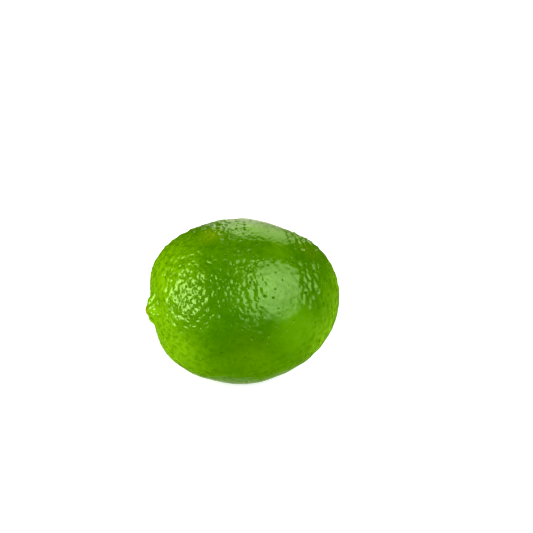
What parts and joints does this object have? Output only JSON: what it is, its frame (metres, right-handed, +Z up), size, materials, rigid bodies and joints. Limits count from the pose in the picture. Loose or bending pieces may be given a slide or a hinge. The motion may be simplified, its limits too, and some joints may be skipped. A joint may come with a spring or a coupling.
{
  "type": "lime",
  "caption": "Whole fresh lime lying on its side, an egg-shaped citrus fruit with a pitted peel, a low nipple and a lobed calyx.",
  "frame": {"origin": "middle of the flat spot that the fruit lies on, under its centre of mass", "axes": "+X along the fruit from the blossom end to the stem end, -Z out of the flat spot, +Z up"},
  "size_m": [0.065, 0.052, 0.0522],
  "materials": {
    "peel": "waxy, pitted with oil glands, mid green with paler ends",
    "calyx": "fleshy, satin, olive green with brown edges",
    "cut_stem": "dry, fibrous, ochre with a darker bark edge"
  },
  "bodies": {
    "root": {"fruit": "peel", "calyx": "calyx", "stem_stub": "cut_stem"}
  },
  "joints": []
}
